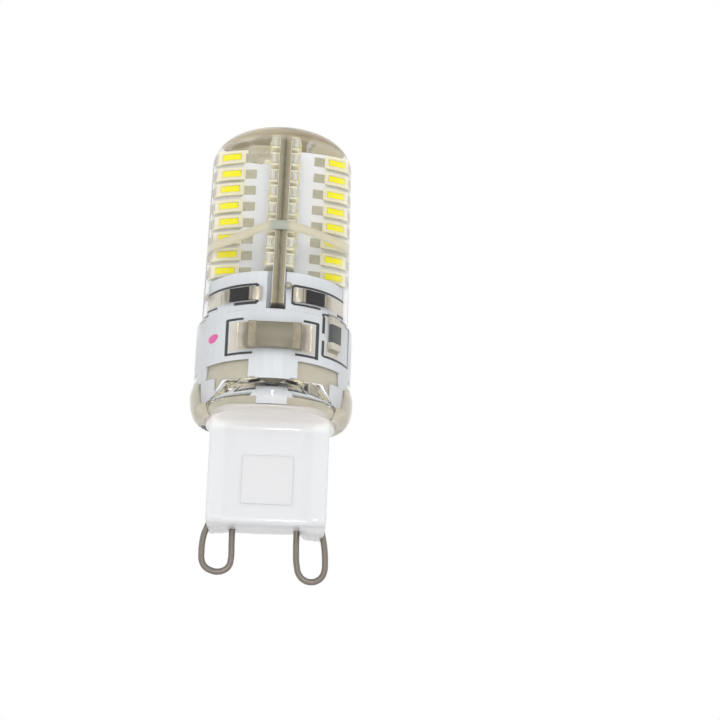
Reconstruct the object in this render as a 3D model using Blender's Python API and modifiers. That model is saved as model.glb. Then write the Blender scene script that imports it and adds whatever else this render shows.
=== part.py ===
"""LED capsule bulb: a two-pin lamp with a cross of LED boards potted in clear silicone.

Metres, +Z towards the dome. The origin is the centre of the base's flat bottom face,
X runs from pin to pin and -Y is the front. Sizes below are written in millimetres.
"""
import math

import bmesh
import bpy
from mathutils import Matrix, Vector

MM = 0.001

# Clearances
GAP = 0.3 * MM              # between a piece and the potting or seat round it
SNUG = 0.15 * MM            # under a soldered chip, and round the boards and their strap
LEG_GAP = 0.1 * MM          # round a pin leg in its hole
CUT_REACH = 1.0 * MM        # how far a cutter runs past an open face

# Base moulding: a flat block with a round flange that plugs into the capsule
BASE_W = 11.3 * MM
BASE_T = 5.8 * MM
BASE_H = 9.8 * MM
BASE_FOOT_EDGE = 0.45 * MM
PANEL_W = 7.2 * MM
PANEL_DEPTH = 0.4 * MM
PANEL_RIM = 0.55 * MM       # run of the sloped border at the sides and the foot
PANEL_HEAD = 1.3 * MM       # run of the sloped border under the flange
PANEL_FOOT = 1.0 * MM
FLANGE_H = 3.4 * MM
FLANGE_EDGE = 0.5 * MM

# Pin loops, bent from wire
PIN_R = 0.3 * MM
PIN_INNER_X = 3.05 * MM
PIN_OUTER_X = 5.1 * MM      # where the outer leg leaves the base
PIN_BULGE_X = 5.8 * MM      # where the loop is widest
PIN_BULGE_DROP = 1.5 * MM
PIN_ROOT = 4.2 * MM         # depth of a leg in the base
PIN_DROP_LEFT = 3.8 * MM
PIN_DROP_RIGHT = 4.45 * MM
PIN_BEND_LEFT = 0.95 * MM
PIN_BEND_RIGHT = 1.4 * MM
PIN_POINT_STEP = 0.25 * MM
PIN_BEND_STEPS = 12

# Silicone capsule, sized from the boards and the base that it holds
FIN_COVER = 0.94 * MM       # silicone over the fins at the collar
BARREL_DRAFT = 0.012        # loss of radius per unit of height
DOME_COVER = 2.2 * MM       # silicone over the deep board
SHOULDER_R = 4.2 * MM       # across
SHOULDER_H = 3.1 * MM       # down
CROWN = 0.35 * MM
COLLAR_STEP = 0.41 * MM     # how far the collar stands out of the barrel
COLLAR_H = 7.1 * MM         # from the lip up
COLLAR_EDGE = 0.35 * MM
LIP_SWELL = 0.29 * MM       # how far the lip stands out of the collar
LIP_DROP = 0.5 * MM         # from the flange's top down to the lip
LIP_RUN = 1.6 * MM          # height over which the collar swells to the lip
BOWL_DEPTH = 2.35 * MM
BOWL_TUCK = 1.04 * MM       # from the lip in to the bowl's flat foot
MOUTH_WALL = 0.3 * MM       # foot of the bowl round the flange
CAPSULE_WALL = 0.4 * MM
TURN_STEPS = 48
CROWN_STEPS = 4
SHOULDER_STEPS = 9
BARREL_STEPS = 3
EDGE_STEPS = 3
LIP_STEPS = 4
BOWL_STEPS = 8

# LED boards, a half-lapped cross
BOARD_T = 1.1 * MM
FIN_REACH = 0.85 * MM       # how far the boards stand out of the tube
BOARD_H = 17.3 * MM
BOARD_SEAT = 3.6 * MM       # how deep the wide board sits in the tube
BOARD_STEP = 0.2 * MM       # how much higher the deep board sits
NOTCH_W = 2.8 * MM          # broken corner beside the slot, from the axis
NOTCH_D = 1.55 * MM

# LED packages
LED_PITCH = 1.705 * MM
LED_HEAD = 0.83 * MM        # from the board's top edge to the top row
LED_FOOT = 4.5 * MM         # from the lowest row to the board's bottom edge, at least
LED_EDGE = 0.25 * MM        # from a package's end to the board's side
LED_L = 3.0 * MM
LED_W = 1.3 * MM
LED_H = 0.7 * MM
LED_SINK = 0.1 * MM
WINDOW_INSET = 0.46 * MM    # from a package's inner end
WINDOW_L = 1.6 * MM
WINDOW_W = 0.58 * MM
WINDOW_DEPTH = 0.15 * MM

# Retaining strap round the fins
STRAP_H = 1.0 * MM
STRAP_T = 0.2 * MM
STRAP_ROW = 5               # the LED row, from the top, that it crosses

# Driver board, rolled into a tube
TUBE_R = 5.35 * MM
TUBE_WALL = 0.25 * MM
TUBE_H = 10.6 * MM
TAB_H = 1.9 * MM
FRONT_TAB_HALF = math.radians(23)
SIDE_TAB_HALF = math.radians(12)
TUBE_STEPS = 40
TAB_STEPS = 4

# Chips on the driver board: length, width, height and length of each end cap
BIG_CAPACITOR = (4.9 * MM, 2.6 * MM, 1.0 * MM, 0.85 * MM)
CHIP = (3.2 * MM, 1.5 * MM, 0.65 * MM, 0.45 * MM)
SMALL_CAPACITOR = (3.2 * MM, 1.6 * MM, 0.9 * MM, 0.5 * MM)
RECTIFIER = (4.2 * MM, 2.6 * MM, 0.95 * MM)
RECTIFIER_LEG = (0.6 * MM, 0.5 * MM, 0.35 * MM)
CAP_STEP = 0.05 * MM        # how far an end cap stands proud of its body
LOWER_CHIP_RISE = 2.2 * MM  # above the tabs' roots
UPPER_CHIP_RISE = 1.3 * MM  # above the wide board's bottom edge
BLEED_RISE = 3.45 * MM      # above the tabs' roots
DIODE_ANGLE = math.radians(36)
BLEED_ANGLE = math.radians(64)
REAR_CHIP_ANGLE = math.radians(122)

# Lead wires and solder
LEAD_R = 0.2 * MM
LEAD_RISE = 0.5 * MM        # above the tabs' roots
LEAD_STEPS = 8
LEAD_BOW = 1.5              # power that makes a lead lean out before it rises
SOLDER_R = 0.35 * MM
FIN_SOLDER_RISE = 2.1 * MM  # above the wide board's bottom edge

# Radii that follow from the sizes above, from the driver board outwards
TUBE_INNER_R = TUBE_R - TUBE_WALL
CHIP_SEAT = TUBE_R + SNUG
BOARD_R = TUBE_R + FIN_REACH
BARREL_R = BOARD_R + FIN_COVER
COLLAR_R = BARREL_R + COLLAR_STEP
LIP_R = COLLAR_R + LIP_SWELL
BOWL_R = LIP_R - BOWL_TUCK
MOUTH_R = BOWL_R - MOUTH_WALL
FLANGE_R = MOUTH_R - GAP
LEG_HOLE_R = PIN_R + LEG_GAP
LEAD_X = TUBE_INNER_R - SNUG - LEAD_R
SOLDER_X = TUBE_INNER_R - SNUG - SOLDER_R
CORE_R = SOLDER_X - SOLDER_R - GAP      # potting inside the driver board
FACE = BOARD_T / 2
LED_FACE = FACE + LED_H
LED_OUTER_R = BOARD_R - LED_EDGE
LED_INNER_R = LED_OUTER_R - LED_L
WINDOW_INNER_R = LED_INNER_R + WINDOW_INSET
SLOT_HALF = FACE + GAP

# Heights that follow, from the base upwards
FLANGE_TOP = BASE_H + FLANGE_H
LIP_Z = FLANGE_TOP - LIP_DROP
COLLAR_TOP = LIP_Z + COLLAR_H
CAPSULE_BOTTOM = LIP_Z - BOWL_DEPTH
TUBE_BOTTOM = FLANGE_TOP + GAP
TUBE_TOP = TUBE_BOTTOM + TUBE_H
TAB_Z = TUBE_BOTTOM + TAB_H
BOARD_Z = TUBE_TOP - BOARD_SEAT
DEEP_Z = BOARD_Z + BOARD_STEP
CAPSULE_TOP = DEEP_Z + BOARD_H + DOME_COVER
LAP_Z = BOARD_Z + BOARD_H / 2
LED_TOP_ROW = BOARD_H - LED_HEAD
LED_ROWS = 1 + int((LED_TOP_ROW - LED_FOOT) / LED_PITCH)
STRAP_Z = BOARD_Z + LED_TOP_ROW - STRAP_ROW * LED_PITCH
LOWER_CHIP_Z = TAB_Z + LOWER_CHIP_RISE
BLEED_Z = TAB_Z + BLEED_RISE
UPPER_CHIP_Z = BOARD_Z + UPPER_CHIP_RISE
LEAD_TOP = TAB_Z + LEAD_RISE
FIN_SOLDER_Z = BOARD_Z + FIN_SOLDER_RISE


def clear_scene():
    """Remove the objects of the scene that the script starts in."""
    for obj in list(bpy.data.objects):
        bpy.data.objects.remove(obj, do_unlink=True)


def new_collection(name):
    collection = bpy.data.collections.new(name)
    bpy.context.scene.collection.children.link(collection)
    return collection


def make_material(name, colour, roughness, metallic=0.0, transmission=0.0):
    """A plain Principled material with the part's own colour."""
    material = bpy.data.materials.new(name)
    material.use_nodes = True
    shader = material.node_tree.nodes["Principled BSDF"]
    shader.inputs["Base Color"].default_value = (*colour, 1.0)
    shader.inputs["Roughness"].default_value = roughness
    shader.inputs["Metallic"].default_value = metallic
    shader.inputs["Transmission Weight"].default_value = transmission
    material.diffuse_color = (*colour, 1.0)
    return material


def add_piece(name, mesh, material):
    """Link a mesh as a named piece of the bulb."""
    obj = bpy.data.objects.new(name, mesh)
    mesh.materials.append(material)
    PIECES.objects.link(obj)
    return obj


def add_cutter(name, mesh):
    """Link a mesh as a tool that shapes a piece and isn't one itself."""
    obj = bpy.data.objects.new(name, mesh)
    obj.hide_render = True
    obj.display_type = "WIRE"
    CUTTERS.objects.link(obj)
    return obj


def boolean(obj, cutter, operation="DIFFERENCE", solver="EXACT"):
    """Cut or join; the thin turned walls need the MANIFOLD solver, where EXACT leaves open edges."""
    modifier = obj.modifiers.new(cutter.name, "BOOLEAN")
    modifier.operation = operation
    modifier.solver = solver
    modifier.object = cutter


def bevel(obj, width, segments=2):
    modifier = obj.modifiers.new("bevel", "BEVEL")
    modifier.width = width
    modifier.segments = segments
    modifier.limit_method = "ANGLE"
    modifier.use_clamp_overlap = True


def box_mesh(name, boxes):
    """One mesh of separate boxes, each given by its two opposite corners."""
    bm = bmesh.new()
    for low, high in boxes:
        low, high = Vector(low), Vector(high)
        size = high - low
        place = Matrix.Translation((low + high) / 2) @ Matrix.Diagonal((*size, 1.0))
        bmesh.ops.create_cube(bm, size=1.0, matrix=place)
    mesh = bpy.data.meshes.new(name)
    bm.to_mesh(mesh)
    bm.free()
    return mesh


def turned_mesh(name, profile, steps=TURN_STEPS):
    """Turn an open profile of (radius, height) points, whose ends lie on the axis."""
    outline = bpy.data.meshes.new(name + "_profile")
    points = [(radius, 0.0, height) for radius, height in profile]
    edges = [(index, index + 1) for index in range(len(points) - 1)]
    outline.from_pydata(points, edges, [])
    turned = bpy.data.objects.new(name + "_profile", outline)
    CUTTERS.objects.link(turned)
    screw = turned.modifiers.new("turn", "SCREW")
    screw.axis = "Z"
    screw.steps = steps
    screw.render_steps = steps
    screw.use_merge_vertices = True
    screw.merge_threshold = 0.000001
    return plain_mesh(turned, name)


def plain_mesh(source, name):
    """The evaluated mesh of an object, welded, with the object itself removed."""
    bpy.context.view_layer.update()
    evaluated = source.evaluated_get(bpy.context.evaluated_depsgraph_get())
    mesh = bpy.data.meshes.new_from_object(evaluated)
    mesh.name = name
    bm = bmesh.new()
    bm.from_mesh(mesh)
    bmesh.ops.transform(bm, matrix=source.matrix_world, verts=bm.verts)
    bmesh.ops.remove_doubles(bm, verts=bm.verts, dist=0.000001)
    bmesh.ops.dissolve_degenerate(bm, edges=bm.edges, dist=0.0000001)
    bm.to_mesh(mesh)
    bm.free()
    mesh.materials.clear()
    bpy.data.objects.remove(source, do_unlink=True)
    return mesh


def prism_mesh(name, outlines, bottom, top):
    """Extrude flat outlines, the second and later ones being holes, between two heights."""
    curve = bpy.data.curves.new(name, "CURVE")
    curve.dimensions = "2D"
    curve.fill_mode = "BOTH"
    curve.extrude = (top - bottom) / 2
    for outline in outlines:
        spline = curve.splines.new("POLY")
        spline.points.add(len(outline) - 1)
        for point, (x, y) in zip(spline.points, outline):
            point.co = (x, y, 0.0, 1.0)
        spline.use_cyclic_u = True
    source = bpy.data.objects.new(name, curve)
    source.location.z = (top + bottom) / 2
    CUTTERS.objects.link(source)
    return plain_mesh(source, name)


def wire_mesh(name, points, radius, resolution):
    """A round wire with closed ends along a list of points."""
    curve = bpy.data.curves.new(name, "CURVE")
    curve.dimensions = "3D"
    curve.bevel_depth = radius
    curve.bevel_resolution = resolution
    curve.use_fill_caps = True
    spline = curve.splines.new("POLY")
    spline.points.add(len(points) - 1)
    for point, place in zip(spline.points, points):
        point.co = (*place, 1.0)
    source = bpy.data.objects.new(name, curve)
    CUTTERS.objects.link(source)
    return plain_mesh(source, name)


def smooth(obj, angle=math.radians(35)):
    obj.data.shade_smooth()
    obj.data.set_sharp_from_angle(angle=angle)


def shares(steps):
    """Even shares of a run, from 0 to 1."""
    return [step / steps for step in range(steps + 1)]


def ease(share):
    """Smooth step from 0 to 1."""
    share = min(max(share, 0.0), 1.0)
    return share * share * (3 - 2 * share)


def capsule_profile():
    """Outside of the silicone capsule, from the top of the dome down to its mouth."""
    def barrel(height):
        return BARREL_R - BARREL_DRAFT * (height - COLLAR_TOP)

    spring = CAPSULE_TOP - CROWN - SHOULDER_H
    flat_r = barrel(spring) - SHOULDER_R
    quarter = math.radians(90)
    profile = [(flat_r * share, CAPSULE_TOP - CROWN * share ** 2) for share in shares(CROWN_STEPS)]
    for share in shares(SHOULDER_STEPS)[1:]:
        turn = quarter * share
        profile.append((flat_r + SHOULDER_R * math.sin(turn), spring + SHOULDER_H * math.cos(turn)))
    for share in shares(BARREL_STEPS)[1:]:
        height = spring + (COLLAR_TOP - spring) * share
        profile.append((barrel(height), height))
    for share in shares(EDGE_STEPS):
        turn = quarter * share
        profile.append((COLLAR_R - COLLAR_EDGE * (1 - math.sin(turn)),
                        COLLAR_TOP - COLLAR_EDGE * (1 - math.cos(turn))))
    for share in shares(LIP_STEPS):
        profile.append((COLLAR_R + (LIP_R - COLLAR_R) * ease(share), LIP_Z + LIP_RUN * (1 - share)))
    for share in shares(BOWL_STEPS)[1:]:
        turn = quarter * share
        profile.append((BOWL_R + (LIP_R - BOWL_R) * math.cos(turn), LIP_Z - BOWL_DEPTH * math.sin(turn)))
    profile.append((0.0, CAPSULE_BOTTOM))
    return profile


def cross_outline(half_length, half_width):
    """Outline of a plus sign centred on the axis."""
    corner = [(half_length, -half_width), (half_length, half_width), (half_width, half_width)]
    outline = []
    for quarter in range(4):
        turn = Matrix.Rotation(math.radians(90 * quarter), 2)
        outline += [tuple(turn @ Vector(point)) for point in corner]
    return outline


def strap_outline(offset):
    """Taut loop round the fin edges and the outer LED corners, moved out by an offset."""
    corners = []
    for quarter in range(4):
        turn = Matrix.Rotation(math.radians(90 * quarter), 2)
        for point in ((BOARD_R, -FACE), (BOARD_R, FACE), (LED_OUTER_R, LED_FACE)):
            corners.append(turn @ Vector(point))
        corners.append(turn @ Vector((LED_FACE, LED_OUTER_R)))
    outline = []
    for index, corner in enumerate(corners):
        before = (corner - corners[index - 1]).normalized()
        after = (corners[(index + 1) % len(corners)] - corner).normalized()
        normal_before = Vector((before.y, -before.x))
        normal_after = Vector((after.y, -after.x))
        middle = (normal_before + normal_after).normalized()
        outline.append(tuple(corner + middle * offset / middle.dot(normal_after)))
    return outline


def make_capsule(material):
    """Clear potting: outer form, space for the boards, the strap, the driver and the flange."""
    capsule = add_piece("silicone_capsule", turned_mesh("silicone_capsule", capsule_profile()), material)
    below = CAPSULE_BOTTOM - CUT_REACH
    mouth = [(0.0, TUBE_BOTTOM), (MOUTH_R, TUBE_BOTTOM), (MOUTH_R, below), (0.0, below)]
    boolean(capsule, add_cutter("flange_space", turned_mesh("flange_space", mouth)), solver="MANIFOLD")

    step_z = COLLAR_TOP - COLLAR_EDGE - CAPSULE_WALL
    upper_r = BARREL_R - BARREL_DRAFT * (TUBE_TOP + GAP - COLLAR_TOP) - CAPSULE_WALL
    lower_r = COLLAR_R - CAPSULE_WALL
    driver = [(0.0, TAB_Z), (CORE_R, TAB_Z), (CORE_R, TUBE_TOP + GAP), (upper_r, TUBE_TOP + GAP),
              (upper_r, step_z), (lower_r, step_z), (lower_r, FLANGE_TOP), (0.0, FLANGE_TOP)]
    boolean(capsule, add_cutter("driver_space", turned_mesh("driver_space", driver)), solver="MANIFOLD")

    fins = prism_mesh("fin_space", [cross_outline(BOARD_R + SNUG, FACE + SNUG)],
                      BOARD_Z - GAP, DEEP_Z + BOARD_H + SNUG)
    boolean(capsule, add_cutter("fin_space", fins), solver="MANIFOLD")
    leds = prism_mesh("led_space", [cross_outline(LED_OUTER_R + SNUG, LED_FACE + GAP)],
                      TUBE_TOP + GAP / 2, DEEP_Z + LED_TOP_ROW + LED_W / 2 + SNUG)
    boolean(capsule, add_cutter("led_space", leds), solver="MANIFOLD")
    strap = prism_mesh("strap_space", [strap_outline(2 * SNUG + STRAP_T), strap_outline(0.0)],
                       STRAP_Z - STRAP_H / 2 - SNUG, STRAP_Z + STRAP_H / 2 + SNUG)
    boolean(capsule, add_cutter("strap_space", strap), solver="MANIFOLD")
    smooth(capsule)


def panel_cutter(side):
    """Sloped tray that sinks the panel into one broad face; side is -1 in front, 1 behind."""
    floor = ((-PANEL_W / 2, -PANEL_DEPTH, PANEL_FOOT + PANEL_RIM),
             (PANEL_W / 2, PANEL_DEPTH, BASE_H - GAP - PANEL_HEAD))
    mesh = box_mesh("panel", [floor])
    for vertex in mesh.vertices:
        if vertex.co.y > 0:
            vertex.co.x += math.copysign(2 * PANEL_RIM, vertex.co.x)
            vertex.co.z += 2 * PANEL_HEAD if vertex.co.z > BASE_H / 2 else -2 * PANEL_RIM
        vertex.co.y += BASE_T / 2
    if side < 0:
        mesh.transform(Matrix.Rotation(math.pi, 4, "Z"))
    return add_cutter("panel_front" if side < 0 else "panel_rear", mesh)


def make_base(material):
    """White moulding: block, flange, sunk panels and the holes for pins and lead wires."""
    block = box_mesh("base_housing", [((-BASE_W / 2, -BASE_T / 2, 0.0), (BASE_W / 2, BASE_T / 2, FLANGE_TOP - GAP))])
    base = add_piece("base_housing", block, material)
    bevel(base, BASE_FOOT_EDGE, 3)
    for side in (-1, 1):
        boolean(base, panel_cutter(side))
    edge = FLANGE_EDGE
    profile = [(0.0, FLANGE_TOP), (FLANGE_R - edge, FLANGE_TOP)]
    profile += [(FLANGE_R - edge + edge * math.sin(turn), FLANGE_TOP - edge + edge * math.cos(turn))
                for turn in (math.radians(45), math.radians(90))]
    profile += [(FLANGE_R - edge + edge * math.cos(turn), BASE_H + edge - edge * math.sin(turn))
                for turn in (0.0, math.radians(30), math.radians(60), math.radians(90))]
    profile.append((0.0, BASE_H))
    boolean(base, add_cutter("flange", turned_mesh("flange", profile)), "UNION")
    for side in (-1, 1):
        for name, place, top in (("outer_leg_hole", PIN_OUTER_X, PIN_ROOT + LEG_GAP),
                                 ("inner_leg_hole", PIN_INNER_X, FLANGE_TOP + GAP)):
            hole = bmesh.new()
            depth = top + GAP
            bmesh.ops.create_cone(hole, cap_ends=True, segments=16, radius1=LEG_HOLE_R, radius2=LEG_HOLE_R,
                                  depth=depth, matrix=Matrix.Translation((side * place, 0.0, top - depth / 2)))
            mesh = bpy.data.meshes.new(name)
            hole.to_mesh(mesh)
            hole.free()
            boolean(base, add_cutter(name, mesh))
    smooth(base)


def pin_points(side, drop, bend):
    """Centre line of one pin loop: down the outer leg, round the bend and up the inner leg."""
    half = (PIN_BULGE_X - PIN_INNER_X) / 2
    middle = (PIN_BULGE_X + PIN_INNER_X) / 2
    straight = drop - bend
    points = [(PIN_OUTER_X, PIN_ROOT), (PIN_OUTER_X, PIN_ROOT / 2)]
    for share in shares(round(straight / PIN_POINT_STEP))[:-1]:
        height = -straight * share
        swell = ease(-height / PIN_BULGE_DROP)
        points.append((PIN_OUTER_X + (PIN_BULGE_X - PIN_OUTER_X) * swell, height))
    for share in shares(PIN_BEND_STEPS):
        turn = math.pi * share
        points.append((middle + half * math.cos(turn), -straight - bend * math.sin(turn)))
    points += [(PIN_INNER_X, 0.0), (PIN_INNER_X, PIN_ROOT)]
    return [(side * x, 0.0, z) for x, z in points]


def make_pins(material):
    for name, side, drop, bend in (("pin_left", -1, PIN_DROP_LEFT, PIN_BEND_LEFT),
                                   ("pin_right", 1, PIN_DROP_RIGHT, PIN_BEND_RIGHT)):
        pin = add_piece(name, wire_mesh(name, pin_points(side, drop, bend), PIN_R, 3), material)
        smooth(pin)


def led_boxes(bottom, inner, length, width, low, high):
    """Corners of a box at each LED of a board that lies across X, on both of its faces."""
    boxes = []
    for row in range(LED_ROWS):
        height = bottom + LED_TOP_ROW - row * LED_PITCH
        for side in (-1, 1):
            for face in (-1, 1):
                across = sorted((side * inner, side * (inner + length)))
                deep = sorted((face * low, face * high))
                boxes.append(((across[0], deep[0], height - width / 2), (across[1], deep[1], height + width / 2)))
    return boxes


def make_board(name, bottom, slot_up, turned, material):
    """One LED board with its half-lap slot, its LED packages and their sunk windows."""
    board = add_piece(name, box_mesh(name, [((-BOARD_R, -FACE, bottom), (BOARD_R, FACE, bottom + BOARD_H))]),
                      material)
    slot = (LAP_Z - GAP / 2, bottom + BOARD_H + GAP) if slot_up else (bottom - GAP, LAP_Z + GAP / 2)
    cut = [((-SLOT_HALF, -BOARD_T, slot[0]), (SLOT_HALF, BOARD_T, slot[1]))]
    tools = [("slot", cut, "DIFFERENCE")]
    if slot_up:
        top = bottom + BOARD_H
        corner = [((-NOTCH_W, -BOARD_T, top - NOTCH_D), (0.0, BOARD_T, top + GAP))]
        tools.append(("broken_corner", corner, "DIFFERENCE"))
    tools.append(("packages", led_boxes(bottom, LED_INNER_R, LED_L, LED_W, FACE - LED_SINK, LED_FACE), "UNION"))
    windows = led_boxes(bottom, WINDOW_INNER_R, WINDOW_L, WINDOW_W, LED_FACE - WINDOW_DEPTH, LED_FACE + GAP)
    tools.append(("windows", windows, "DIFFERENCE"))
    turn = Matrix.Rotation(math.radians(90 if turned else 0), 4, "Z")
    board.data.transform(turn)
    for label, boxes, operation in tools:
        mesh = box_mesh(f"{name}_{label}", boxes)
        mesh.transform(turn)
        boolean(board, add_cutter(f"{name}_{label}", mesh), operation)


def make_strap(material):
    outlines = [strap_outline(SNUG + STRAP_T), strap_outline(SNUG)]
    mesh = prism_mesh("retaining_strap", outlines, STRAP_Z - STRAP_H / 2, STRAP_Z + STRAP_H / 2)
    add_piece("retaining_strap", mesh, material)


def make_driver_board(material):
    """Rolled board: a tube with slots for the fins above and tabs below."""
    outer = [(0.0, TUBE_TOP), (TUBE_R, TUBE_TOP), (TUBE_R, TUBE_BOTTOM), (0.0, TUBE_BOTTOM)]
    board = add_piece("driver_board", turned_mesh("driver_board", outer, TUBE_STEPS), material)
    bore = [(0.0, TUBE_TOP + GAP), (TUBE_INNER_R, TUBE_TOP + GAP),
            (TUBE_INNER_R, TUBE_BOTTOM - GAP), (0.0, TUBE_BOTTOM - GAP)]
    boolean(board, add_cutter("driver_bore", turned_mesh("driver_bore", bore, TUBE_STEPS)), solver="MANIFOLD")
    reach = TUBE_R + CUT_REACH
    slots = prism_mesh("fin_slots", [cross_outline(reach, SLOT_HALF)], BOARD_Z - GAP, TUBE_TOP + GAP)
    boolean(board, add_cutter("fin_slots", slots), solver="MANIFOLD")
    notches = []
    for side in (-1, 1):
        for front in (-1, 1):
            run = math.radians(90) - SIDE_TAB_HALF - FRONT_TAB_HALF
            angles = [FRONT_TAB_HALF + run * share for share in shares(TAB_STEPS)]
            outline = [(side * reach * math.sin(angle), front * reach * math.cos(angle)) for angle in angles]
            outline += [(side * CORE_R * math.sin(angle), front * CORE_R * math.cos(angle))
                        for angle in reversed(angles)]
            notches.append(outline)
    tabs = prism_mesh("tab_notches", notches, TUBE_BOTTOM - 2 * GAP, TAB_Z)
    boolean(board, add_cutter("tab_notches", tabs), solver="MANIFOLD")
    smooth(board)


def chip_place(angle, height, upright):
    """Frame of a chip on the tube: X along it, Y outwards from its seat, Z across it."""
    place = Matrix.Rotation(angle, 4, "Z") @ Matrix.Translation((0.0, -CHIP_SEAT, height))
    if upright:
        place = place @ Matrix.Rotation(math.radians(90), 4, "Y")
    return place


def make_chip(name, sizes, angle, height, material, upright=False):
    """A ceramic chip: a body with an end cap, a little proud, on each end."""
    length, width, thick, cap = sizes
    place = chip_place(angle, height, upright)
    inside = width / 2 - CAP_STEP
    body = box_mesh(name, [((-length / 2 + CAP_STEP, -thick + CAP_STEP, -inside),
                            (length / 2 - CAP_STEP, -CAP_STEP, inside))])
    body.transform(place)
    chip = add_piece(name, body, material)
    bevel(chip, CAP_STEP, 1)
    caps = [((-length / 2, -thick, -width / 2), (-length / 2 + cap, 0.0, width / 2)),
            ((length / 2 - cap, -thick, -width / 2), (length / 2, 0.0, width / 2))]
    ends = box_mesh(name + "_ends", caps)
    ends.transform(place)
    tool = add_cutter(name + "_ends", ends)
    bevel(tool, CAP_STEP, 1)
    boolean(chip, tool, "UNION")


def make_rectifier(material):
    """Flat bridge rectifier at the rear of the driver board, with a lead at each corner."""
    length, width, thick = RECTIFIER
    leg_w, leg_l, leg_t = RECTIFIER_LEG
    place = chip_place(math.radians(180), LOWER_CHIP_Z, False)
    body = box_mesh("bridge_rectifier", [((-length / 2, -thick, -width / 2), (length / 2, 0.0, width / 2))])
    body.transform(place)
    rectifier = add_piece("bridge_rectifier", body, material)
    bevel(rectifier, SNUG, 1)
    legs = []
    for side in (-1, 1):
        for end in (-1, 1):
            x = side * length / 3
            outer = sorted((end * (width / 2 + leg_l), end * (width / 2 - leg_l)))
            legs.append(((x - leg_w / 2, -leg_t, outer[0]), (x + leg_w / 2, -CAP_STEP, outer[1])))
    mesh = box_mesh("rectifier_legs", legs)
    mesh.transform(place)
    boolean(rectifier, add_cutter("rectifier_legs", mesh), "UNION")


def make_chips(materials):
    ceramic, resistor, diode = materials["ceramic"], materials["resistor"], materials["diode"]
    half_turn = math.radians(180)
    make_chip("dropper_capacitor", BIG_CAPACITOR, 0.0, LOWER_CHIP_Z, ceramic)
    make_chip("diode_front_left", CHIP, -DIODE_ANGLE, UPPER_CHIP_Z, diode)
    make_chip("diode_front_right", CHIP, DIODE_ANGLE, UPPER_CHIP_Z, diode)
    make_chip("bleed_resistor", CHIP, BLEED_ANGLE, BLEED_Z, resistor, upright=True)
    make_chip("ballast_resistor_left", CHIP, half_turn + DIODE_ANGLE, UPPER_CHIP_Z, resistor)
    make_chip("ballast_resistor_right", CHIP, half_turn - DIODE_ANGLE, UPPER_CHIP_Z, resistor)
    make_chip("smoothing_capacitor", SMALL_CAPACITOR, -REAR_CHIP_ANGLE, LOWER_CHIP_Z, ceramic, upright=True)
    make_chip("surge_resistor", CHIP, REAR_CHIP_ANGLE, LOWER_CHIP_Z, resistor, upright=True)
    make_rectifier(diode)


def make_leads(wire, solder):
    """Lead wires from the pins' inner legs to the side tabs, each with its solder joint."""
    for name, side in (("left", -1), ("right", 1)):
        route = [(PIN_INNER_X, PIN_ROOT + GAP), (PIN_INNER_X, FLANGE_TOP / 2), (PIN_INNER_X, FLANGE_TOP - GAP)]
        rise = LEAD_TOP - FLANGE_TOP - GAP
        for share in shares(LEAD_STEPS)[1:]:
            lean = PIN_INNER_X + (LEAD_X - PIN_INNER_X) * ease(share)
            route.append((lean, FLANGE_TOP + rise * share ** LEAD_BOW))
        route.append((LEAD_X, LEAD_TOP))
        points = [(side * x, 0.0, z) for x, z in route]
        lead = add_piece(f"lead_wire_{name}", wire_mesh(f"lead_wire_{name}", points, LEAD_R, 2), wire)
        smooth(lead)
        make_solder(f"lead_solder_{name}", (side * SOLDER_X, 0.0, LEAD_TOP + SNUG + SOLDER_R), solder)


def make_solder(name, place, material):
    """A rounded bead of solder."""
    bead = bmesh.new()
    bmesh.ops.create_uvsphere(bead, u_segments=12, v_segments=7, radius=SOLDER_R,
                              matrix=Matrix.Translation(place))
    mesh = bpy.data.meshes.new(name)
    bead.to_mesh(mesh)
    bead.free()
    smooth(add_piece(name, mesh, material))


def make_fin_joints(material):
    """Solder beads between each fin and the driver board, outside the tube."""
    radial = TUBE_R + SNUG + SOLDER_R
    lateral = FACE + SNUG + SOLDER_R
    for quarter, name in enumerate(("front", "right", "rear", "left")):
        turn = Matrix.Rotation(math.radians(90 * quarter), 3, "Z")
        place = turn @ Vector((lateral, -radial, FIN_SOLDER_Z))
        make_solder(f"fin_solder_{name}", place, material)


def main():
    white = make_material("base_white", (0.86, 0.87, 0.88), 0.25)
    silicone = make_material("silicone", (0.80, 0.76, 0.66), 0.08, transmission=0.9)
    wire = make_material("tinned_wire", (0.62, 0.58, 0.52), 0.3, metallic=1.0)
    led_board = make_material("led_board", (0.86, 0.87, 0.88), 0.5)
    strap = make_material("strap", (0.80, 0.77, 0.66), 0.45)
    driver = make_material("driver_board", (0.88, 0.89, 0.90), 0.45)
    solder = make_material("solder", (0.72, 0.70, 0.66), 0.25, metallic=1.0)
    chips = {
        "ceramic": make_material("ceramic", (0.42, 0.37, 0.27), 0.4),
        "resistor": make_material("resistor", (0.12, 0.12, 0.11), 0.4),
        "diode": make_material("diode", (0.04, 0.04, 0.04), 0.5),
    }
    make_base(white)
    make_pins(wire)
    make_board("led_board_wide", BOARD_Z, True, False, led_board)
    make_board("led_board_deep", DEEP_Z, False, True, led_board)
    make_strap(strap)
    make_driver_board(driver)
    make_chips(chips)
    make_leads(wire, solder)
    make_fin_joints(solder)
    make_capsule(silicone)


clear_scene()
PIECES = new_collection("led_capsule_bulb")
CUTTERS = new_collection("cutters")
main()
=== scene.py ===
"""LED capsule bulb: the looks of its potting, LED boards, driver board, base and pins."""
import math

import bmesh
import bpy
from bpy.props import FloatProperty, FloatVectorProperty, IntProperty, PointerProperty
from mathutils import Matrix, Vector, noise


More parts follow.
